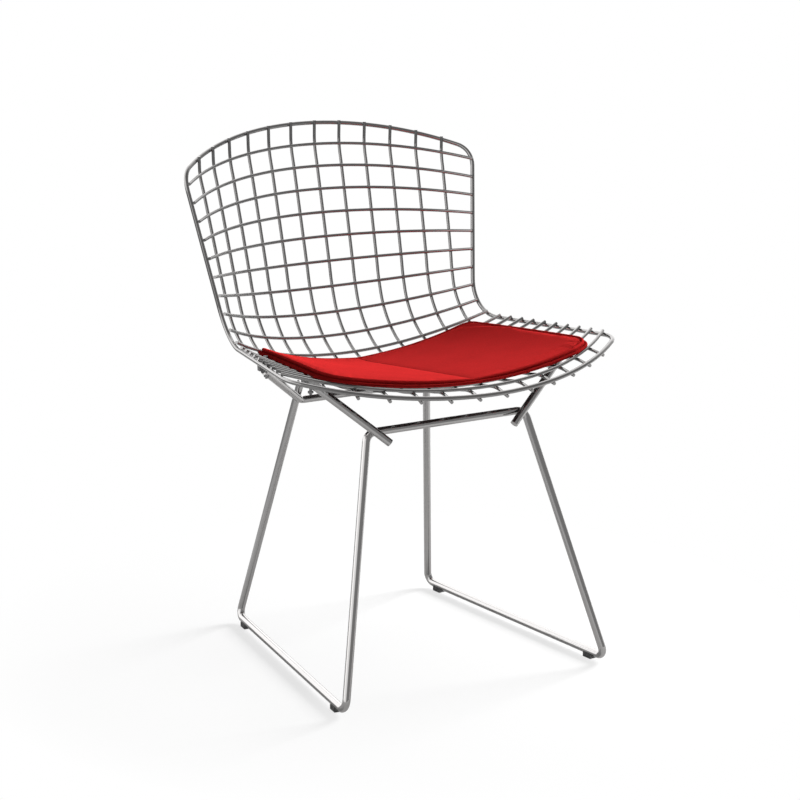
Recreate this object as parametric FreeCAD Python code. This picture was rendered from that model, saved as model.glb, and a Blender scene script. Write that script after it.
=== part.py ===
import FreeCAD, Part
import math
import os

Vector = FreeCAD.Vector
straight_enough = 0.0005

# A side chair whose seat and back are one dished shell of welded steel wire.
# The shell stands on a sled base of bent rod and carries a thin fabric pad.
# Lengths are in millimetres, angles in degrees.
# A length called "ahead" or "bow" is measured forward from the rim's farthest reach.
# X runs from the left side to the right side as seen from the front.
# Y runs from the front to the back, Z runs up, and the floor is Z = 0.
# The origin lies on the floor under the middle of the chair's depth and width.

# Wire and rod stock
wire_diameter = 4.8
rim_diameter = 6.4
rod_diameter = 11.5

# Rim of the shell, given by the centreline of its wire
rim_reach = 286.7
rim_top_height = 753.6
rim_front_height = 447.8
top_corner_half_width = 248.6
top_bow = 103.7
top_corner_height = 707.6
waist_half_width = 211.5
waist_ahead = 169.7
waist_height = 461.8
front_corner_half_width = 271.7
front_bow = 101.7
front_corner_height = 478.5
rim_waist_bend = 66.0
top_corner_blend = 25.0
front_corner_blend = 22.0

# Centre line of the cross wires, seen from the side
fold_ahead = 96.8
fold_height = 394.9
back_wires_ahead = 2.5
seat_rise = 7.3
fold_radius = 131.0

# Spacing of the wires
long_wire_count = 12
cross_wire_count = 20
back_wire_count = 8
bend_wire_count = 2
long_pitch_rim = 41.8
long_pitch_top = 40.4
long_pitch_waist = 37.0
long_pitch_front = 42.3
long_pitch_front_rim = 43.8
top_gap = 32.8
front_gap = 27.0
side_top_gap = 15.0
side_front_gap = 24.5
top_crowding = 0.85
crowded_gaps = 6
side_bend_spread = 1.1
side_seat_crowding = 0.857
cross_wire_overhang = 1.0
long_wire_head = 2.6
long_wire_tip = 1.8

# Sled base
sled_front_half_width = 219.0
sled_rear_half_width = 170.0
sled_front_y = -253.3
sled_rear_y = 183.3
front_bar_half_width = 131.3
front_bar_y = -159.05
front_bar_height = 379.7
rear_leg_half_width_top = 105.4
rear_leg_y_top = 80.2
rear_leg_rise = 48.4
rear_leg_past_cradle = 26.4
floor_bend = 13.0
front_bar_bend = 16.0
glide_sole = 3.75

# Rear cradle rod and front struts
cradle_half_width = 112.0
cradle_drop = 23.3
cradle_bend = 16.0
cradle_sink = 0.54
strut_weld_half_width = 124.2
strut_past_weld = 28.1

# Clips that hold the outermost lengthwise wires to the ends of the rods
# A clip's place is counted in cross wires from the front of the seat.
# A rod's drop is measured from the wire, a nut's drop from the middle of the rod.
rear_clip_place = 7.5
rear_rod_drop = 17.1
rear_jaw_depth = 14.0
rear_nut_drop = 3.5
front_clip_place = 1.61
front_rod_drop = 5.4
front_jaw_depth = 4.6
front_nut_drop = 11.2
jaw_length = 12.0
jaw_outboard = 5.0
jaw_inboard = 11.5
jaw_split = 0.4
cap_length = 10.0
cap_height = 4.6
rod_past_bolt = 6.5
bolt_diameter = 4.0
bolt_inboard = 6.4
bolt_head_diameter = 7.0
bolt_head_height = 2.4
bolt_tail = 2.4
nut_width = 7.0
nut_height = 3.2

# Floor glides
glide_length = 17.0
glide_width = 12.6
glide_grip = 3.2
front_glide_inset = 35.0
rear_glide_inset = 31.0

# Seat pad
pad_thickness = 10.0
pad_back_ahead = 179.7
pad_back_bow = 27.0
pad_back_half_width = 185.0
pad_front_inset = 48.7
pad_front_bow = 35.0
pad_front_half_width = 222.0
pad_back_rounding = 20.0
pad_front_rounding = 34.0
pad_first_wire_count = 8
pad_side_margin = 0.4
pad_column_count = 12

# Fits
fit_clearance = 0.05
weld_clearance = 0.05
soft_clearance = 0.3


def unit(v):
    w = Vector(v)
    w.normalize()
    return w


def mirrored(p):
    return Vector(-p.x, p.y, p.z)


def line(a, b):
    return Part.LineSegment(a, b).toShape()


def arc_through(a, b, c):
    return Part.Arc(a, b, c).toShape()


def bend(before, corner, after, radius):
    """Arc that rounds a corner between two straight runs."""
    a = unit(before - corner)
    b = unit(after - corner)
    half = a.getAngle(b) / 2
    reach = radius / math.tan(half)
    middle = corner + unit(a + b) * (radius / math.sin(half) - radius)
    return arc_through(corner + a * reach, middle, corner + b * reach)


def bent_path(corners, radii):
    """Straight runs through the corners, joined by tangent arcs."""
    edges = []
    start = corners[0]
    for k, radius in enumerate(radii, 1):
        arc = bend(corners[k - 1], corners[k], corners[k + 1], radius)
        edges.append(line(start, arc.firstVertex(True).Point))
        edges.append(arc)
        start = arc.lastVertex(True).Point
    edges.append(line(start, corners[-1]))
    return edges


def bow(start, heading, end):
    """Arc from start along a heading to end, or a straight run if it has no bow."""
    chord = end - start
    aside = heading - unit(chord) * heading.dot(unit(chord))
    if aside.Length < straight_enough:
        return line(start, end)
    rise_of_arc = chord.Length / 2 * math.tan(heading.getAngle(chord) / 2)
    middle = (start + end) * 0.5 + unit(aside) * rise_of_arc
    return arc_through(start, middle, end)


def double_bow(start, heading, end, end_heading):
    """Two tangent arcs that join two points with the given headings."""
    chord = end - start
    both = heading + end_heading
    turn = 2 * (1 - heading.dot(end_heading))
    reach = chord.dot(chord) / (2 * chord.dot(both))
    if turn > straight_enough ** 2:
        forward = chord.dot(both)
        reach = (math.sqrt(forward ** 2 + turn * chord.dot(chord)) - forward) / turn
    joint = (start + heading * reach + end - end_heading * reach) * 0.5
    turned = unit(end - joint) * (2 * unit(end - joint).dot(end_heading)) - end_heading
    return [bow(start, heading, joint), bow(joint, turned, end)]


def smooth_path(points):
    """Tangent arcs through the points."""
    headings = []
    for before, here, after in zip(points, points[1:], points[2:]):
        near = here - before
        far = after - here
        headings.append(unit(near * far.dot(far) + far * near.dot(near)))
    first = points[1] - points[0]
    last = points[-1] - points[-2]
    headings.insert(0, unit(first * 2 - headings[0] * first.dot(headings[0])))
    headings.append(unit(last * 2 - headings[-1] * last.dot(headings[-1])))
    edges = []
    for k in range(len(points) - 1):
        edges += double_bow(points[k], headings[k], points[k + 1], headings[k + 1])
    return edges


def walk(edges, distance):
    """Point and direction at a distance along a path."""
    for edge in edges:
        if distance <= edge.Length or edge is edges[-1]:
            at = edge.getParameterByLength(min(distance, edge.Length))
            return edge.valueAt(at), edge.tangentAt(at)
        distance -= edge.Length


def rod(edges, diameter):
    """Round bar whose centreline follows the edges."""
    path = Part.Wire(edges)
    start = edges[0].valueAt(edges[0].FirstParameter)
    heading = edges[0].tangentAt(edges[0].FirstParameter)
    section = Part.Wire(Part.makeCircle(diameter / 2, start, heading))
    return path.makePipeShell([section], True, False)


# Rim of the shell
waist = Vector(waist_half_width, rim_reach - waist_ahead, waist_height)
top_corner = Vector(top_corner_half_width, rim_reach - top_bow, top_corner_height)
front_corner = Vector(front_corner_half_width, front_bow - rim_reach, front_corner_height)
rim_side = bent_path([top_corner, waist, front_corner], [rim_waist_bend])
rim_side_length = sum(edge.Length for edge in rim_side)
rim_top = arc_through(mirrored(top_corner), Vector(0, rim_reach, rim_top_height), top_corner)
rim_front_middle = Vector(0, -rim_reach, rim_front_height)
rim_front = arc_through(mirrored(front_corner), rim_front_middle, front_corner)

# Centre line of the shell
fold = Vector(0, rim_reach - fold_ahead, fold_height)
rise = math.radians(seat_rise)
seat_length = (fold.y + rim_reach) / math.cos(rise)
back_end = Vector(0, rim_reach - back_wires_ahead, rim_top_height)
seat_end = fold + Vector(0, -math.cos(rise), math.sin(rise)) * seat_length
centre_line = bent_path([back_end, fold, seat_end], [fold_radius])
centre_length = sum(edge.Length for edge in centre_line)


def spread(first, last, weights):
    """Positions from first to last whose gaps are in proportion to the weights."""
    scale = (last - first) / sum(weights)
    places = [first]
    for weight in weights:
        places.append(places[-1] + weight * scale)
    return places


gap_count = cross_wire_count - 1
centre_weights = [
    min(1.0, top_crowding + (1 - top_crowding) * k / crowded_gaps) for k in range(gap_count)
]
side_weights = [1.0] * back_wire_count + [side_bend_spread] * bend_wire_count
side_weights += [side_seat_crowding] * (gap_count - len(side_weights))
centre_places = spread(top_gap, centre_length - front_gap, centre_weights)
side_places = spread(side_top_gap, rim_side_length - side_front_gap, side_weights)
rim_clear = (rim_diameter + wire_diameter) / 2


def cross_wire_arc(k):
    """Arc of one cross wire, from rim to rim, lying on the rim's inner side."""
    middle, _ = walk(centre_line, centre_places[k])
    end, along_rim = walk(rim_side, side_places[k])
    bare = arc_through(mirrored(end), middle, end)
    along_wire = bare.tangentAt(bare.LastParameter)
    inward = unit(along_rim.cross(along_wire))
    seat = end + inward * rim_clear
    return arc_through(mirrored(seat), middle, seat)


cross_arcs = [cross_wire_arc(k) for k in range(cross_wire_count)]


def along(arc, offset):
    """Point and direction on an arc at a distance from its middle."""
    at = (arc.FirstParameter + arc.LastParameter) / 2 + offset / arc.Curve.Radius
    return arc.valueAt(at), arc.tangentAt(at)


def long_pitch(k):
    """Spacing of the lengthwise wires where cross wire k passes over them."""
    narrowest = back_wire_count + 1
    if k < narrowest:
        return long_pitch_top + (long_pitch_waist - long_pitch_top) * k / narrowest
    share = (k - narrowest) / (gap_count - narrowest)
    return long_pitch_waist + (long_pitch_front - long_pitch_waist) * share


def lane(i):
    """Place of a lengthwise wire, counted in pitches from the centre."""
    return i - (long_wire_count - 1) / 2


def crossing(k, i):
    """Point on cross wire k above lengthwise wire i, and the wire's direction."""
    return along(cross_arcs[k], lane(i) * long_pitch(k))


def inward_normal(k, i):
    """Direction from the shell towards the sitter at a crossing."""
    before, _ = crossing(max(k - 1, 0), i)
    after, _ = crossing(min(k + 1, gap_count), i)
    _, across = crossing(k, i)
    return unit((after - before).cross(across))


def long_wire_points(i):
    """Centreline points of a lengthwise wire from the top rim to the front rim."""
    crossings = [crossing(k, i)[0] for k in range(cross_wire_count)]
    normals = [inward_normal(k, i) for k in range(cross_wire_count)]
    points = [p - n * wire_diameter for p, n in zip(crossings, normals)]
    top, across = along(rim_top, lane(i) * long_pitch_rim)
    upward = unit(top - crossings[0])
    over_rim = top + unit(across.cross(upward)) * rim_clear
    front, across = along(rim_front, lane(i) * long_pitch_front_rim)
    forward = unit(front - crossings[-1])
    under_rim = front - unit(forward.cross(across)) * rim_clear
    tip = under_rim + unit(under_rim - points[-1]) * long_wire_tip
    head = over_rim + unit(over_rim - points[0]) * long_wire_head
    return [head, over_rim] + points + [under_rim, tip]


def long_wire(i, diameter):
    return rod(smooth_path(long_wire_points(i)), diameter)


def cross_wire(k):
    arc = cross_arcs[k]
    more = cross_wire_overhang / arc.Curve.Radius
    curve = Part.ArcOfCircle(arc.Curve, arc.FirstParameter - more, arc.LastParameter + more)
    return rod([curve.toShape()], wire_diameter)


def trimmed(edge, from_start, from_end):
    """Edge shortened at both ends."""
    first = edge.getParameterByLength(from_start)
    last = edge.getParameterByLength(edge.Length - from_end)
    return edge.Curve.toShape(first, last)


def ends(edge):
    """Start point, start direction, end point and end direction of an edge."""
    first = edge.FirstParameter
    last = edge.LastParameter
    return edge.valueAt(first), edge.tangentAt(first), edge.valueAt(last), edge.tangentAt(last)


def joined(before, after):
    """Corner blend from the end of one edge to the start of the next."""
    _, _, start, heading = ends(before)
    end, end_heading, _, _ = ends(after)
    return double_bow(start, heading, end, end_heading)


def rim_wire():
    """Closed wire round the whole shell."""
    top = trimmed(rim_top, top_corner_blend, top_corner_blend)
    right = bent_path([top_corner, waist, front_corner], [rim_waist_bend])
    right[0] = trimmed(right[0], top_corner_blend, 0)
    right[-1] = trimmed(right[-1], 0, front_corner_blend)
    turned = arc_through(front_corner, rim_front_middle, mirrored(front_corner))
    front = trimmed(turned, front_corner_blend, front_corner_blend)
    left = bent_path([mirrored(p) for p in (front_corner, waist, top_corner)], [rim_waist_bend])
    left[0] = trimmed(left[0], front_corner_blend, 0)
    left[-1] = trimmed(left[-1], 0, top_corner_blend)
    edges = [top] + joined(top, right[0]) + right + joined(right[-1], front) + [front]
    edges += joined(front, left[0]) + left + joined(left[-1], top)
    return rod(edges, rim_diameter)


# Sled base
runner_height = rod_diameter / 2 + glide_sole
rear_foot = Vector(-sled_rear_half_width, sled_rear_y, runner_height)
front_foot = Vector(-sled_front_half_width, sled_front_y, runner_height)
front_bar_end = Vector(-front_bar_half_width, front_bar_y, front_bar_height)
cradle_height = fold_height - cradle_drop
rear_leg_top = Vector(-rear_leg_half_width_top, rear_leg_y_top, cradle_height + rear_leg_rise)
rear_leg_slope = (rear_leg_top - rear_foot) * (1 / (rear_leg_top - rear_foot).z)
leg_behind_cradle = rear_leg_top - rear_leg_slope * rear_leg_rise
rear_leg_end = leg_behind_cradle + rear_leg_slope * rear_leg_past_cradle


def sled_rod():
    """One bent rod: rear leg, runner and front leg on each side, and the front bar."""
    left = [rear_leg_end, rear_foot, front_foot, front_bar_end]
    corners = left + [mirrored(p) for p in reversed(left)]
    bends = [floor_bend, floor_bend, front_bar_bend, front_bar_bend, floor_bend, floor_bend]
    return rod(bent_path(corners, bends), rod_diameter)


class Clip:
    """Place of one left clip: its centre on the outermost wire and its own axes."""

    def __init__(self, place, rod_drop, nut_drop):
        row = int(gap_count - place)
        before = wire_under(row)
        after = wire_under(row + 1)
        self.centre = before + (after - before) * (gap_count - place - row)
        self.ahead = unit(after - before)
        self.inboard = unit(self.ahead.cross(Vector(0, 0, 1))) * -1
        self.up = self.ahead.cross(self.inboard)
        self.rod_point = self.point(0, bolt_inboard, -rod_drop)
        self.nut_seat = -rod_drop - nut_drop

    def point(self, ahead, inboard, up):
        return self.centre + self.ahead * ahead + self.inboard * inboard + self.up * up

    def block(self, length, inboard, bottom, top):
        """Block given by its extent along the wire, across it and above it."""
        corners = [
            self.point(-length / 2, -jaw_outboard, bottom),
            self.point(length / 2, -jaw_outboard, bottom),
            self.point(length / 2, inboard, bottom),
            self.point(-length / 2, inboard, bottom),
        ]
        face = Part.Face(Part.makePolygon(corners + corners[:1]))
        return face.extrude(self.up * (top - bottom))

    def pin(self, diameter, bottom, top):
        """Upright cylinder on the bolt's axis."""
        foot = self.point(0, bolt_inboard, bottom)
        return Part.makeCylinder(diameter / 2, top - bottom, foot, self.up)

    def bolt_hole(self):
        return self.pin(bolt_diameter + 2 * fit_clearance, -bolt_reach, bolt_reach)

    def nut_room(self):
        """Flat seat for the nut in the underside of the rod."""
        across = 2 * nut_width / math.sqrt(3) + 2 * soft_clearance
        return self.pin(across, -bolt_reach, self.nut_seat)


def wire_under(row):
    """Point on the outermost left wire where it passes under a cross wire."""
    return crossing(row, 0)[0] - inward_normal(row, 0) * wire_diameter


bolt_reach = 60.0
rear_clip = Clip(rear_clip_place, rear_rod_drop, rear_nut_drop)
front_clip = Clip(front_clip_place, front_rod_drop, front_nut_drop)
cradle_y = leg_behind_cradle.y - rod_diameter + cradle_sink
cradle_corner = Vector(-cradle_half_width, cradle_y, cradle_height)


def strut_weld():
    """Point where the strut passes close in front of the front bar."""
    bar = Vector(0, front_bar_y, front_bar_height)
    level_top = Vector(0, front_clip.rod_point.y, front_clip.rod_point.z)
    apart = rod_diameter + weld_clearance
    to_bar = bar - level_top
    turn = math.asin(apart / to_bar.Length)
    tangent_length = math.sqrt(to_bar.Length ** 2 - apart ** 2)
    aside = Vector(1, 0, 0).cross(unit(to_bar))
    heading = unit(to_bar) * math.cos(turn) - aside * math.sin(turn)
    return level_top + heading * tangent_length - Vector(strut_weld_half_width, 0, 0)


weld = strut_weld()
strut_foot = weld + unit(weld - front_clip.rod_point) * strut_past_weld


def rod_end(root, clip):
    """End of a rod that runs from its root past the clip's bolt."""
    return clip.rod_point + unit(clip.rod_point - root) * rod_past_bolt


def cradle_rod(diameter):
    """Rod bent into a shallow U behind the seat, welded to the fronts of the rear legs."""
    end = rod_end(cradle_corner, rear_clip)
    corners = [end, cradle_corner, mirrored(cradle_corner), mirrored(end)]
    return rod(bent_path(corners, [cradle_bend, cradle_bend]), diameter)


def strut(diameter):
    """Straight rod from the front bar's left corner up to the shell."""
    return rod([line(strut_foot, rod_end(strut_foot, front_clip))], diameter)


def lower_jaw(clip, depth, held_wire):
    """Block between the wire and the end of the rod."""
    block = clip.block(jaw_length, jaw_inboard, -depth, -jaw_split / 2)
    return block.cut(held_wire).cut(clip.bolt_hole())


def cap(clip, held_wire):
    """Plate over the wire."""
    block = clip.block(cap_length, jaw_inboard, jaw_split / 2, cap_height)
    return block.cut(held_wire).cut(clip.bolt_hole())


def bolt(clip):
    shank = clip.pin(bolt_diameter, clip.nut_seat - nut_height - bolt_tail, cap_height)
    head = clip.pin(bolt_head_diameter, cap_height, cap_height + bolt_head_height)
    return shank.fuse(head).removeSplitter()


def nut(clip):
    """Hexagonal nut under the rod."""
    corner_radius = nut_width / math.sqrt(3)
    corners = []
    for k in range(6):
        angle = math.radians(60 * k)
        ahead = corner_radius * math.cos(angle)
        inboard = corner_radius * math.sin(angle) + bolt_inboard
        corners.append(clip.point(ahead, inboard, clip.nut_seat - nut_height))
    body = Part.Face(Part.makePolygon(corners + corners[:1])).extrude(clip.up * nut_height)
    return body.cut(clip.bolt_hole())


def glide(from_foot, to_foot, inset):
    """Saddle under a runner, with its sole on the floor."""
    heading = unit(to_foot - from_foot)
    aside = Vector(0, 0, 1).cross(heading)
    middle = Vector(from_foot.x, from_foot.y, 0) + heading * inset
    corners = []
    for along_runner, across in ((-1, -1), (1, -1), (1, 1), (-1, 1)):
        reach = heading * (along_runner * glide_length / 2)
        corners.append(middle + reach + aside * (across * glide_width / 2))
    face = Part.Face(Part.makePolygon(corners + corners[:1]))
    block = face.extrude(Vector(0, 0, glide_sole + glide_grip))
    start = from_foot + heading * (inset - glide_length)
    seat = Part.makeCylinder(rod_diameter / 2 + fit_clearance, 2 * glide_length, start, heading)
    return block.cut(seat)


def pad_surface(lift):
    """Surface over the wires of the seat, at a distance from their centres."""
    rows = []
    for k in range(pad_first_wire_count, cross_wire_count):
        row = []
        for j in range(pad_column_count + 1):
            last = long_wire_count - 1 + pad_side_margin
            i = -pad_side_margin + (last + pad_side_margin) * j / pad_column_count
            row.append(crossing(k, i)[0] + inward_normal(k, i) * lift)
        rows.append(row)
    surface = Part.BSplineSurface()
    surface.interpolate(rows)
    return surface.toShape()


def pad_outline():
    """Outline of the pad seen from above, with rounded corners."""
    back_middle = Vector(0, rim_reach - pad_back_ahead, 0)
    front_middle = Vector(0, pad_front_inset - rim_reach, 0)
    back = back_middle + Vector(-pad_back_half_width, -pad_back_bow, 0)
    front = front_middle + Vector(-pad_front_half_width, pad_front_bow, 0)
    back_arc = arc_through(mirrored(back), back_middle, back)
    front_arc = arc_through(front, front_middle, mirrored(front))
    back_arc = trimmed(back_arc, pad_back_rounding, pad_back_rounding)
    front_arc = trimmed(front_arc, pad_front_rounding, pad_front_rounding)
    left = trimmed(line(back, front), pad_back_rounding, pad_front_rounding)
    right = line(mirrored(front), mirrored(back))
    right = trimmed(right, pad_front_rounding, pad_back_rounding)
    edges = [back_arc] + joined(back_arc, left) + [left] + joined(left, front_arc)
    edges += [front_arc] + joined(front_arc, right) + [right] + joined(right, back_arc)
    return Part.Wire(edges)


def seat_pad():
    """Thin pad that lies on the cross wires of the seat."""
    rest = wire_diameter / 2 + soft_clearance
    head_top = cap_height + bolt_head_height + soft_clearance
    bottom = pad_surface(rest)
    top = pad_surface(rest + pad_thickness)
    sides = [Part.makeRuledSurface(a, b) for a, b in zip(bottom.Edges, top.Edges)]
    slab = Part.Solid(Part.Shell([bottom, top] + sides))
    column = Part.Face(pad_outline()).extrude(Vector(0, 0, rim_top_height))
    pad = slab.common(column)
    for clip in (rear_clip, front_clip):
        head = clip.pin(bolt_head_diameter + 2 * soft_clearance, 0, head_top)
        plate = clip.block(jaw_length, jaw_inboard + soft_clearance, 0, cap_height + soft_clearance)
        pad = pad.cut(both_sides([head, plate]))
    return pad


def flipped(shape):
    """The same part on the other side of the chair."""
    return shape.mirror(Vector(0, 0, 0), Vector(1, 0, 0))


def both_sides(shapes):
    """Group of separate parts, repeated on the other side."""
    return Part.makeCompound(shapes + [flipped(shape) for shape in shapes])


def export(name, shape):
    shape.exportStep("parts/" + name + ".step")


os.makedirs("parts", exist_ok=True)

export("rim_wire", rim_wire())
for k in range(cross_wire_count):
    export("cross_wire_%02d" % (k + 1), cross_wire(k))
for i in range(long_wire_count):
    export("long_wire_%02d" % (i + 1), long_wire(i, wire_diameter))

export("sled_rod", sled_rod())
drilling = both_sides([rear_clip.bolt_hole(), rear_clip.nut_room()])
export("cradle_rod", cradle_rod(rod_diameter).cut(drilling))
jaw_room = front_clip.block(2 * jaw_length, 3 * jaw_inboard, -front_jaw_depth, bolt_reach)
left_strut = strut(rod_diameter).cut([jaw_room, front_clip.bolt_hole(), front_clip.nut_room()])
export("strut_left", left_strut)
export("strut_right", flipped(left_strut))

front_glide = glide(front_foot, rear_foot, front_glide_inset)
rear_glide = glide(rear_foot, front_foot, rear_glide_inset)
for place, shape in (("front", front_glide), ("rear", rear_glide)):
    export("glide_" + place + "_left", shape)
    export("glide_" + place + "_right", flipped(shape))

roomy_wire = long_wire(0, wire_diameter + 2 * fit_clearance)
roomy_rod = rod_diameter + 2 * fit_clearance
rear_jaw = lower_jaw(rear_clip, rear_jaw_depth, roomy_wire).cut(cradle_rod(roomy_rod))
front_jaw = lower_jaw(front_clip, front_jaw_depth, roomy_wire)
for place, clip, jaw in (("rear", rear_clip, rear_jaw), ("front", front_clip, front_jaw)):
    plate = cap(clip, roomy_wire)
    export("clip_jaw_" + place + "_left", jaw)
    export("clip_jaw_" + place + "_right", flipped(jaw))
    export("clip_cap_" + place + "_left", plate)
    export("clip_cap_" + place + "_right", flipped(plate))
export("clip_bolts", both_sides([bolt(rear_clip), bolt(front_clip)]))
export("clip_nuts", both_sides([nut(rear_clip), nut(front_clip)]))

export("seat_pad", seat_pad())
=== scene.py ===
import math

import bpy
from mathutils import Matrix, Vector
from mathutils.kdtree import KDTree


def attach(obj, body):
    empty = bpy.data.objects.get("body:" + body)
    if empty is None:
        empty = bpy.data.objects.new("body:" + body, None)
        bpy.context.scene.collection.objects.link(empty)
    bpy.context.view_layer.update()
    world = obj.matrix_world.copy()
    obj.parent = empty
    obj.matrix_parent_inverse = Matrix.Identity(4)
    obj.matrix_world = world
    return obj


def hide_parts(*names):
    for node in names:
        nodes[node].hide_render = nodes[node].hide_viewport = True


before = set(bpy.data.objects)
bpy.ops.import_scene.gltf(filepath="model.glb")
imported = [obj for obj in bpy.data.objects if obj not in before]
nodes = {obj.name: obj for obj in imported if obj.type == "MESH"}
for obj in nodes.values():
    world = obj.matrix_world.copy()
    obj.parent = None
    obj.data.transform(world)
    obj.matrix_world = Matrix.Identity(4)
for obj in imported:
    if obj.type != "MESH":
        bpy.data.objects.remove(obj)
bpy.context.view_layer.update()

scene = bpy.context.scene
scene.view_settings.view_transform = "Standard"


def only(*objects):
    """Select these objects alone and make the first one active."""
    bpy.ops.object.select_all(action="DESELECT")
    for item in objects:
        item.select_set(True)
    bpy.context.view_layer.objects.active = objects[0]


def apply_modifiers(item):
    only(item)
    for modifier in list(item.modifiers):
        bpy.ops.object.modifier_apply(modifier=modifier.name)


# Camera at the photograph's viewpoint

CAMERA_TURN = -29.766
CAMERA_TILT = 14.547

bpy.ops.object.camera_add(
    location=(-1.7378, -3.0634, 1.2882),
    rotation=(math.radians(90 - CAMERA_TILT), 0, math.radians(CAMERA_TURN)),
)
camera = bpy.context.object
camera.data.sensor_width = 36
camera.data.lens = 109.87
camera.data.shift_x = -0.000625
camera.data.shift_y = 0.000625
camera.data.clip_end = 60
scene.camera = camera


# Materials

class Finish:
    """A material and short ways to add its nodes."""

    def __init__(self, name):
        self.material = bpy.data.materials.new(name)
        self.material.use_nodes = True
        self.tree = self.material.node_tree
        self.shader = self.tree.nodes["Principled BSDF"]

    def add(self, kind, **values):
        node = self.tree.nodes.new(kind)
        for name, value in values.items():
            setattr(node, name, value)
        return node

    def join(self, source, target):
        self.tree.links.new(source, target)

    def set(self, **values):
        for name, value in values.items():
            self.shader.inputs[name.replace("_", " ")].default_value = value

    def place(self, turn=0.0):
        """Object coordinates, turned about the upright axis."""
        where = self.add("ShaderNodeTexCoord")
        mapping = self.add("ShaderNodeMapping")
        mapping.inputs["Rotation"].default_value = (0, 0, turn)
        self.join(where.outputs["Object"], mapping.inputs["Vector"])
        return mapping.outputs["Vector"]

    def noise(self, vector, scale, detail=3.0):
        node = self.add("ShaderNodeTexNoise")
        node.inputs["Scale"].default_value = scale
        node.inputs["Detail"].default_value = detail
        self.join(vector, node.inputs["Vector"])
        return node.outputs["Fac"]

    def between(self, value, low, high, from_low=0.3, from_high=0.7):
        """From low to high while the value goes from from_low to from_high."""
        node = self.add("ShaderNodeMapRange")
        node.inputs["From Min"].default_value = from_low
        node.inputs["From Max"].default_value = from_high
        node.inputs["To Min"].default_value = low
        node.inputs["To Max"].default_value = high
        self.join(value, node.inputs["Value"])
        return node.outputs["Result"]

    def colours(self, value, first, second):
        """From the first colour to the second while the value goes from 0 to 1."""
        node = self.add("ShaderNodeMix", data_type="RGBA")
        node.inputs[6].default_value = first
        node.inputs[7].default_value = second
        self.join(value, node.inputs[0])
        return node.outputs[2]

    def bump(self, height, distance, strength):
        node = self.add("ShaderNodeBump")
        node.inputs["Distance"].default_value = distance
        node.inputs["Strength"].default_value = strength
        self.join(height, node.inputs["Height"])
        self.join(node.outputs["Normal"], self.shader.inputs["Normal"])


def bright_chrome(name, level, ripple):
    """Plated steel of one brightness, slightly uneven from drawing and polishing."""
    finish = Finish(name)
    finish.set(Metallic=1.0)
    vector = finish.place()
    cloud = finish.noise(vector, 24.0)
    dull = (level * 0.95, level * 0.94, level * 0.93, 1)
    clear = (level * 1.04, level * 1.04, level * 1.045, 1)
    tint = finish.colours(cloud, dull, clear)
    finish.join(tint, finish.shader.inputs["Base Color"])
    wipe = finish.noise(vector, 160.0, 5.0)
    finish.join(finish.between(wipe, 0.05, 0.13), finish.shader.inputs["Roughness"])
    finish.bump(finish.noise(vector, ripple, 2.0), 0.0004, 0.06)
    return finish.material


def zinc_steel_painted_shade():
    """Dull zinc on the small clamp parts, its colour darkened as painted shade so the parts read as
    shadowed.
    """
    finish = Finish("zinc_steel_painted_shade")
    finish.set(Metallic=1.0)
    vector = finish.place()
    spangle = finish.noise(vector, 500.0, 4.0)
    # Zinc colours set dark as painted shade.
    tint = finish.colours(spangle, (0.26, 0.26, 0.26, 1), (0.40, 0.40, 0.405, 1))
    finish.join(tint, finish.shader.inputs["Base Color"])
    finish.join(finish.between(spangle, 0.22, 0.38), finish.shader.inputs["Roughness"])
    finish.bump(spangle, 0.0002, 0.15)
    return finish.material


def glide_plastic():
    """Moulded plastic, scuffed here and there."""
    finish = Finish("glide_plastic")
    vector = finish.place()
    grain = finish.noise(vector, 900.0, 4.0)
    scuff = finish.noise(vector, 120.0, 5.0)
    tint = finish.colours(scuff, (0.070, 0.070, 0.071, 1), (0.130, 0.130, 0.130, 1))
    finish.join(tint, finish.shader.inputs["Base Color"])
    finish.join(finish.between(scuff, 0.42, 0.66), finish.shader.inputs["Roughness"])
    finish.bump(grain, 0.0003, 0.3)
    return finish.material


def red_cloth(name, shade):
    """Close woven wool in one red, with a fine two-way weave."""
    finish = Finish(name)
    finish.set(Sheen_Weight=0.004, Sheen_Roughness=0.5, Specular_IOR_Level=0.0, Roughness=0.95)
    weave = []
    for turn in (0.0, math.pi / 2):
        band = finish.add("ShaderNodeTexWave")
        band.inputs["Scale"].default_value = 160.0
        band.inputs["Distortion"].default_value = 1.4
        band.inputs["Detail"].default_value = 2.0
        band.inputs["Detail Scale"].default_value = 1.5
        finish.join(finish.place(turn), band.inputs["Vector"])
        weave.append(band.outputs["Fac"])
    cross = finish.add("ShaderNodeMath", operation="MULTIPLY")
    finish.join(weave[0], cross.inputs[0])
    finish.join(weave[1], cross.inputs[1])
    vector = finish.place()
    fleck = finish.noise(vector, 700.0, 4.0)
    cloud = finish.noise(vector, 14.0, 3.0)
    tint = finish.colours(cross.outputs["Value"], [c * 0.86 for c in shade] + [1], shade + [1])
    for patch, spread in ((fleck, 0.14), (cloud, 0.05)):
        uneven = finish.add("ShaderNodeHueSaturation")
        finish.join(finish.between(patch, 1 - spread, 1 + spread), uneven.inputs["Value"])
        finish.join(tint, uneven.inputs["Color"])
        tint = uneven.outputs["Color"]
    finish.join(tint, finish.shader.inputs["Base Color"])
    height = finish.add("ShaderNodeMath", operation="ADD")
    finish.join(cross.outputs["Value"], height.inputs[0])
    finish.join(fleck, height.inputs[1])
    finish.bump(height.outputs["Value"], 0.0004, 0.35)
    return finish.material


# The wires' plating is set darker than the rods' as painted shade, so the thin wires show darker.
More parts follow.
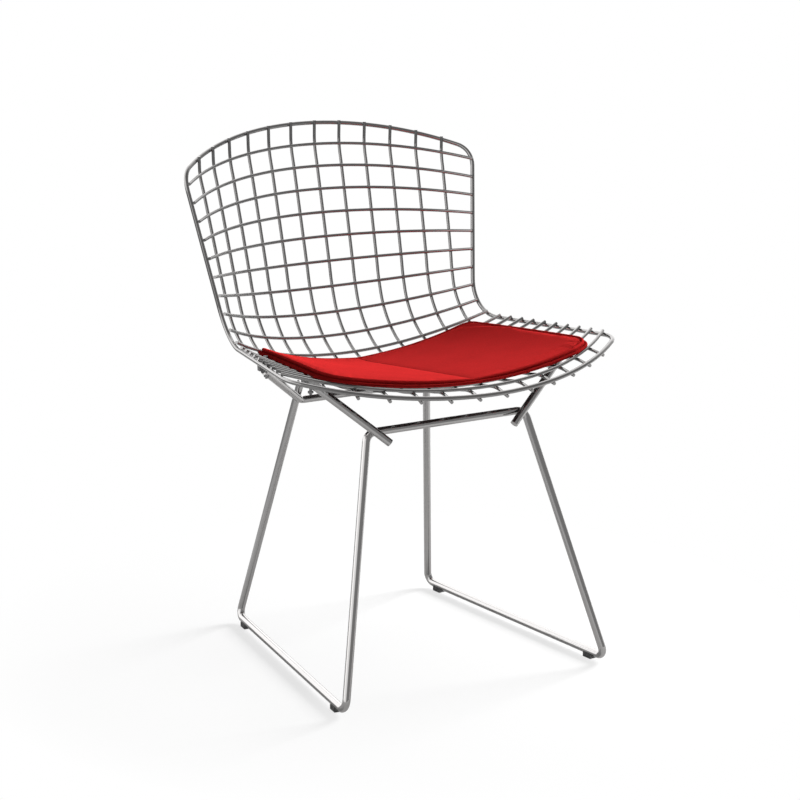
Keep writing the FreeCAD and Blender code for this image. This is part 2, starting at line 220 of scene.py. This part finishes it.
wire_chrome = bright_chrome("wire_chrome", 0.37, 300.0)
rod_chrome = bright_chrome("rod_chrome", 0.58, 90.0)
clip_metal = zinc_steel_painted_shade()
glide_black = glide_plastic()
pad_red = red_cloth("pad_red", [0.65, 0.026, 0.026])
# The rolls' cloths are darker copies of the pad's red: painted shade on the pad's edge, deepest on
# the lower roll.
roll_red_painted_shade = red_cloth("roll_red_painted_shade", [0.54, 0.020, 0.020])
lower_red_painted_shade = red_cloth("lower_red_painted_shade", [0.36, 0.012, 0.012])
# Darker copy of the pad's red: painted shade for the seam and the groove.
seam_painted_shade = red_cloth("seam_painted_shade", [0.36, 0.013, 0.013])
underside_cloth = red_cloth("underside_cloth", [0.020, 0.011, 0.011])


def dress(node_name, material):
    """Give a CAD node its material."""
    slots = nodes[node_name].data.materials
    slots.clear()
    slots.append(material)


for node_name in nodes:
    if node_name.startswith("glide"):
        dress(node_name, glide_black)
    elif node_name.startswith("clip"):
        dress(node_name, clip_metal)
    elif node_name.startswith(("sled", "cradle", "strut")):
        dress(node_name, rod_chrome)
    elif node_name != "seat_pad":
        dress(node_name, wire_chrome)


# Seat pad

MERGE = 0.00001  # points of the slab closer than this are one
FACING_UP = 0.6  # upward part of the slab's top faces, at least
FACING_OUT = 0.3  # upward part of the slab's side faces, at most
VOXEL = 0.0036  # size of the cover's faces
THICKNESS = 0.010
CREASE_DEPTH = 0.0030  # dip of the two halves at the middle seam
CREASE_REACH = 0.042
SEAM_DEPTH = 0.0012  # groove of the stitches in that seam
SEAM_REACH = 0.004
SEAM_SHADE_HALF_WIDTH = 0.0012  # half width of the painted shade along the middle seam
TOP_SWELL = 0.0020
SWELL_REACH = 0.090  # the swell is full this far from the seam
UNDERSIDE_SWELL = 0.0003
ROLL_STEP = 0.004  # spacing of the points along the rolls
UPPER_ROLL = 0.0026  # radius
LOWER_ROLL = 0.0023  # radius
LOWER_OUT = 0.0040  # the lower roll stands out past the slab
TUCK_REACH = 0.005
TUCK_DEPTH = 0.0024
GROOVE_SHADE_REACH = 0.006  # painted shade in the groove beside the upper roll
GROOVE_SHADE_WIDTH = 0.0040


def crease(x):
    """How far the pad's two halves dip towards the seam between them."""
    return CREASE_DEPTH * math.exp(-abs(x) / CREASE_REACH)


def slab_copy(name):
    """Closed copy of the pad's plain slab."""
    slab = bpy.data.objects.new(name, nodes["seat_pad"].data.copy())
    scene.collection.objects.link(slab)
    only(slab)
    bpy.ops.object.mode_set(mode="EDIT")
    bpy.ops.mesh.select_all(action="SELECT")
    bpy.ops.mesh.remove_doubles(threshold=MERGE)
    bpy.ops.mesh.normals_make_consistent(inside=False)
    bpy.ops.object.mode_set(mode="OBJECT")
    return slab


def edge_line():
    """Closed line along the slab's upper edge, with the ways outwards and upwards."""
    slab = slab_copy("edge_line")
    mesh = slab.data
    side = {}
    top = {}
    for polygon in mesh.polygons:
        if polygon.normal.z > FACING_UP:
            faces = top
        elif abs(polygon.normal.z) < FACING_OUT:
            faces = side
        else:
            continue
        for index in polygon.vertices:
            faces.setdefault(index, Vector())
            faces[index] += polygon.normal * polygon.area
    shared = {}
    for polygon in mesh.polygons:
        for key in polygon.edge_keys:
            shared.setdefault(key, []).append(polygon.normal.z)
    beside = {}
    for key, slopes in shared.items():
        if max(slopes) > FACING_UP and abs(min(slopes)) < FACING_OUT:
            for a, b in (key, key[::-1]):
                beside.setdefault(a, []).append(b)
    start = min(beside)
    order = [start, beside[start][0]]
    while order[-1] != start:
        a, b = beside[order[-1]]
        order.append(b if a == order[-2] else a)
    order.pop()
    points = []
    for index in order:
        points.append((mesh.vertices[index].co.copy(), side[index], top[index]))
    bpy.data.objects.remove(slab)
    return points


def even(points, step):
    """The same closed line with its points at an even spacing."""
    closed = points + points[:1]
    lengths = [(b[0] - a[0]).length for a, b in zip(closed, closed[1:])]
    count = round(sum(lengths) / step)
    spacing = sum(lengths) / count
    line = []
    k = 0
    passed = 0.0
    for n in range(count):
        while passed + lengths[k] < n * spacing:
            passed += lengths[k]
            k += 1
        share = (n * spacing - passed) / lengths[k]
        line.append([a.lerp(b, share) for a, b in zip(closed[k], closed[k + 1])])
    return line


def roll_lines(line):
    """Middles of the upper and the lower roll, with the ways outwards and upwards."""
    upper = []
    lower = []
    for place, outward, upward in line:
        outward = outward.normalized()
        upward = upward.normalized()
        foot = place - Vector((0, 0, THICKNESS / upward.z))
        head = foot + upward * (THICKNESS - UPPER_ROLL) - outward * UPPER_ROLL
        head.z -= crease(head.x)
        upper.append((head, outward, upward))
        along = (outward - upward * outward.dot(upward)).normalized()
        foot += upward * LOWER_ROLL - along * (LOWER_ROLL - LOWER_OUT)
        lower.append((foot, outward, upward))
    return upper, lower


def swell(cover):
    """Blow the cover up against its filling, held along its seams."""
    mesh = cover.data
    start = [v.co.copy() for v in mesh.vertices]
    facing = [v.normal.copy() for v in mesh.vertices]
    held = cover.vertex_groups.new(name="held")
    for vertex, normal in zip(mesh.vertices, facing):
        on_seam = abs(vertex.co.x) < VOXEL * 0.7 and normal.z > 0.3
        if on_seam or abs(normal.z) < 0.5:
            held.add([vertex.index], 1.0, "REPLACE")
    only(cover)
    bpy.ops.object.modifier_add(type="CLOTH")
    cloth = cover.modifiers[-1]
    cloth.settings.quality = 4
    cloth.settings.use_pressure = True
    cloth.settings.uniform_pressure_force = 4
    cloth.settings.vertex_group_mass = "held"
    cloth.settings.effector_weights.gravity = 0
    cloth.point_cache.frame_start = 1
    cloth.point_cache.frame_end = 20
    for step in range(1, 21):
        scene.frame_set(step)
    bpy.ops.object.modifier_apply(modifier=cloth.name)
    scene.frame_set(1)
    for vertex, place, normal in zip(cover.data.vertices, start, facing):
        most = TOP_SWELL * min(abs(place.x) / SWELL_REACH, 1.0) if normal.z > 0 else UNDERSIDE_SWELL
        move = vertex.co - place
        if move.length > most:
            vertex.co = place + move.normalized() * most


def edge_tree(upper):
    """Search tree for the nearest point of the upper roll."""
    tree = KDTree(len(upper))
    for index, (place, _, _) in enumerate(upper):
        tree.insert(place, index)
    tree.balance()
    return tree


def tuck(cover, upper, lower):
    """Draw the edge of the cover in behind the rolls."""
    tree = edge_tree(upper)
    for vertex in cover.data.vertices:
        _, index, _ = tree.find(vertex.co)
        place, outward, _ = upper[index]
        foot = lower[index][0]
        share = min(max((place.z - vertex.co.z) / (place.z - foot.z), 0.0), 1.0)
        out = (vertex.co - place - (foot - place) * share).dot(outward)
        if out > 0:
            vertex.co -= outward * out
            vertex.co.z = min(vertex.co.z, place.z)
        elif out > -TUCK_REACH and vertex.co.z > place.z:
            vertex.co.z -= TUCK_DEPTH * (1 + out / TUCK_REACH) ** 2


def colour_underside_and_seam_shade(cover, upper):
    """Give the dark cloth to the underside (slot 1), and painted shade to the seam and to the
    groove beside the upper roll (slot 2).
    """
    tree = edge_tree(upper)
    for polygon in cover.data.polygons:
        if polygon.normal.z < -0.3:
            polygon.material_index = 1
            continue
        # Painted shade along the middle seam and in the groove beside the upper roll.
        if abs(polygon.center.x) < SEAM_SHADE_HALF_WIDTH:
            polygon.material_index = 2
            continue
        _, index, distance = tree.find(polygon.center)
        place, outward, _ = upper[index]
        out = (polygon.center - place).dot(outward)
        if distance < GROOVE_SHADE_REACH and out > -GROOVE_SHADE_WIDTH:
            polygon.material_index = 2


def edge_roll(name, line, radius, cloth):
    """Round roll sewn along the edge of the pad."""
    curve = bpy.data.curves.new(name, "CURVE")
    curve.dimensions = "3D"
    curve.bevel_depth = radius
    curve.bevel_resolution = 3
    curve.resolution_u = 1
    spline = curve.splines.new("NURBS")
    spline.points.add(len(line) - 1)
    for point, (place, _, _) in zip(spline.points, line):
        point.co = (*place, 1)
    spline.order_u = 4
    spline.use_cyclic_u = True
    tube = bpy.data.objects.new(name, curve)
    scene.collection.objects.link(tube)
    only(tube)
    bpy.ops.object.convert(target="MESH")
    roll = bpy.context.object
    roll.data.materials.clear()
    roll.data.materials.append(cloth)
    bpy.ops.object.mode_set(mode="EDIT")
    bpy.ops.mesh.select_all(action="SELECT")
    bpy.ops.mesh.remove_doubles(threshold=MERGE)
    bpy.ops.mesh.normals_make_consistent(inside=False)
    bpy.ops.object.mode_set(mode="OBJECT")
    bpy.ops.object.shade_smooth()
    return roll


def pad_cover():
    """Padded cover in place of the plain slab, with both rolls joined to it."""
    upper, lower = roll_lines(even(edge_line(), ROLL_STEP))
    cover = slab_copy("pad_cover")
    bpy.ops.object.modifier_add(type="REMESH")
    cover.modifiers[-1].mode = "VOXEL"
    cover.modifiers[-1].voxel_size = VOXEL
    bpy.ops.object.modifier_add(type="SMOOTH")
    cover.modifiers[-1].iterations = 4
    apply_modifiers(cover)
    for vertex in cover.data.vertices:
        if vertex.normal.z > 0.3:
            seam = SEAM_DEPTH * math.exp(-abs(vertex.co.x) / SEAM_REACH)
            vertex.co.z -= crease(vertex.co.x) + seam
    swell(cover)
    tuck(cover, upper, lower)
    only(cover)
    bpy.ops.object.modifier_add(type="SUBSURF")
    cover.modifiers[-1].levels = 1
    cover.modifiers[-1].render_levels = 1
    apply_modifiers(cover)
    bpy.ops.object.shade_smooth()
    cover.data.materials.clear()
    for cloth in (pad_red, underside_cloth, seam_painted_shade):
        cover.data.materials.append(cloth)
    # Painted shade on the seam and the groove.
    colour_underside_and_seam_shade(cover, upper)
    rolls = [
        # The rolls wear the darker copies of the red as painted shade.
        edge_roll("upper_roll", upper, UPPER_ROLL, roll_red_painted_shade),
        edge_roll("lower_roll", lower, LOWER_ROLL, lower_red_painted_shade),
    ]
    only(cover, *rolls)
    bpy.ops.object.join()
    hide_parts("seat_pad")
    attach(cover, "root")


pad_cover()


# Studio

def studio_floor():
    """White floor that keeps the soft shadow near the chair. To mirrored rays it shows a grey floor
    instead, with painted shade near the chair.
    """
    bpy.ops.mesh.primitive_plane_add(size=24, location=(0, 0, -0.0002))
    floor = bpy.context.object
    floor.name = "studio_floor"
    paint = Finish("studio_floor")
    paint.set(Roughness=0.9, Specular_IOR_Level=0.1)
    glow = paint.add("ShaderNodeEmission")
    glow.inputs["Color"].default_value = (1, 1, 1, 1)
    glow.inputs["Strength"].default_value = 1.0
    path = paint.add("ShaderNodeLightPath")
    where = paint.add("ShaderNodeTexCoord")
    away = paint.add("ShaderNodeVectorMath", operation="LENGTH")
    paint.join(where.outputs["Object"], away.inputs[0])
    near = paint.between(away.outputs["Value"], 0.72, 1.0, 0.25, 0.65)
    # Mirrored rays see little of the white glow near the chair: painted shade in the plating.
    pale = paint.between(away.outputs["Value"], 0.15, 0.40, 0.2, 0.8)
    reach = paint.between(away.outputs["Value"], 1.0, 0.55, 1.0, 1.9)
    mirrored = paint.add("ShaderNodeMath", operation="MAXIMUM")
    paint.join(path.outputs["Is Glossy Ray"], mirrored.inputs[0])
    paint.join(path.outputs["Is Transmission Ray"], mirrored.inputs[1])
    shown = paint.add("ShaderNodeMath", operation="MULTIPLY")
    paint.join(mirrored.outputs["Value"], shown.inputs[0])
    paint.join(pale, shown.inputs[1])
    bounced = paint.add("ShaderNodeMath", operation="MULTIPLY")
    paint.join(shown.outputs["Value"], bounced.inputs[0])
    paint.join(reach, bounced.inputs[1])
    seen = paint.add("ShaderNodeMath", operation="MULTIPLY_ADD")
    paint.join(path.outputs["Is Camera Ray"], seen.inputs[0])
    paint.join(near, seen.inputs[1])
    paint.join(bounced.outputs["Value"], seen.inputs[2])
    # Grey colour that mirrored rays see: painted shade in the plating.
    dim = paint.colours(reach, (0.05, 0.05, 0.05, 1), (0.36, 0.35, 0.345, 1))
    tone = paint.add("ShaderNodeMix", data_type="RGBA")
    tone.inputs[6].default_value = (0.97, 0.97, 0.97, 1)
    paint.join(mirrored.outputs["Value"], tone.inputs[0])
    paint.join(dim, tone.inputs[7])
    paint.join(tone.outputs[2], paint.shader.inputs["Base Color"])
    blend = paint.add("ShaderNodeMixShader")
    paint.join(seen.outputs["Value"], blend.inputs[0])
    paint.join(paint.shader.outputs["BSDF"], blend.inputs[1])
    paint.join(glow.outputs["Emission"], blend.inputs[2])
    paint.join(blend.outputs["Shader"], paint.tree.nodes["Material Output"].inputs["Surface"])
    floor.data.materials.append(paint.material)


def studio_world():
    """White surroundings. The plating mirrors them bright behind and left, dark in front."""
    world = bpy.data.worlds.new("studio")
    world.use_nodes = True
    scene.world = world
    tree = world.node_tree
    tree.nodes.clear()

    def add(kind, **values):
        node = tree.nodes.new(kind)
        for name, value in values.items():
            setattr(node, name, value)
        return node

    where = add("ShaderNodeTexCoord")
    split = add("ShaderNodeSeparateXYZ")
    tree.links.new(where.outputs["Generated"], split.inputs["Vector"])
    rise = add("ShaderNodeMapRange")
    rise.inputs["From Min"].default_value = -1.0
    rise.inputs["From Max"].default_value = 1.0
    tree.links.new(split.outputs["Z"], rise.inputs["Value"])
    ramp = add("ShaderNodeValToRGB")
    steps = ((0.0, 0.9), (0.50, 0.95), (0.62, 1.0), (0.82, 1.0), (1.0, 0.85))
    ramp.color_ramp.elements[0].position = steps[0][0]
    ramp.color_ramp.elements[1].position = steps[-1][0]
    for position, _ in steps[1:-1]:
        ramp.color_ramp.elements.new(position)
    for element, (_, level) in zip(ramp.color_ramp.elements, steps):
        element.color = (level, level * 0.985, level * 0.98, 1)
    tree.links.new(rise.outputs["Result"], ramp.inputs["Fac"])

    def towards(direction, near, far, value):
        """Level that grows towards one side of the studio."""
        side = add("ShaderNodeVectorMath", operation="DOT_PRODUCT")
        side.inputs[1].default_value = direction
        tree.links.new(where.outputs["Generated"], side.inputs[0])
        level = add("ShaderNodeMapRange", interpolation_type="SMOOTHSTEP")
        level.inputs["From Min"].default_value = near
        level.inputs["From Max"].default_value = far
        level.inputs["To Min"].default_value = 0.0
        level.inputs["To Max"].default_value = value
        tree.links.new(side.outputs["Value"], level.inputs["Value"])
        return level.outputs["Result"]

    behind = add("ShaderNodeMath", operation="ADD")
    behind.inputs[0].default_value = 0.27
    tree.links.new(towards((0.0, 1.0, 0.0), -0.20, 0.70, 1.40), behind.inputs[1])
    level = add("ShaderNodeMath", operation="ADD")
    tree.links.new(behind.outputs["Value"], level.inputs[0])
    tree.links.new(towards((-0.95, -0.20, 0.25), 0.66, 0.95, 0.90), level.inputs[1])
    mirrored = add("ShaderNodeVectorMath", operation="SCALE")
    tree.links.new(ramp.outputs["Color"], mirrored.inputs[0])
    tree.links.new(level.outputs["Value"], mirrored.inputs["Scale"])

    path = add("ShaderNodeLightPath")
    glossy = add("ShaderNodeMix", data_type="RGBA")
    glossy.inputs[6].default_value = (0.15, 0.15, 0.15, 1)
    tree.links.new(path.outputs["Is Glossy Ray"], glossy.inputs[0])
    tree.links.new(mirrored.outputs["Vector"], glossy.inputs[7])
    seen = add("ShaderNodeMath", operation="MAXIMUM")
    tree.links.new(path.outputs["Is Camera Ray"], seen.inputs[0])
    tree.links.new(path.outputs["Is Transmission Ray"], seen.inputs[1])
    white = add("ShaderNodeMix", data_type="RGBA")
    white.inputs[7].default_value = (1, 1, 1, 1)
    tree.links.new(seen.outputs["Value"], white.inputs[0])
    tree.links.new(glossy.outputs[2], white.inputs[6])
    background = add("ShaderNodeBackground")
    tree.links.new(white.outputs[2], background.inputs["Color"])
    output = add("ShaderNodeOutputWorld")
    tree.links.new(background.outputs["Background"], output.inputs["Surface"])


def studio_lamp(name, place, target, size, power):
    """Soft lamp that lights the chair but isn't mirrored in the plating."""
    bpy.ops.object.light_add(type="AREA", location=place)
    lamp = bpy.context.object
    lamp.name = name
    lamp.rotation_euler = (Vector(target) - Vector(place)).to_track_quat("-Z", "Y").to_euler()
    lamp.data.shape = "RECTANGLE"
    lamp.data.size = size[0]
    lamp.data.size_y = size[1]
    lamp.data.energy = power
    lamp.visible_glossy = False


studio_floor()
studio_world()
studio_lamp("key_lamp", (2.7, 0.3, 1.5), (0, 0, 0.45), (1.2, 1.2), 179)
studio_lamp("fill_lamp", (-1.6, -2.8, 1.6), (0, 0, 0.4), (1.2, 1.6), 4)
studio_lamp("top_lamp", (0.2, 0.1, 2.8), (0, 0, 0.3), (0.9, 0.9), 8)
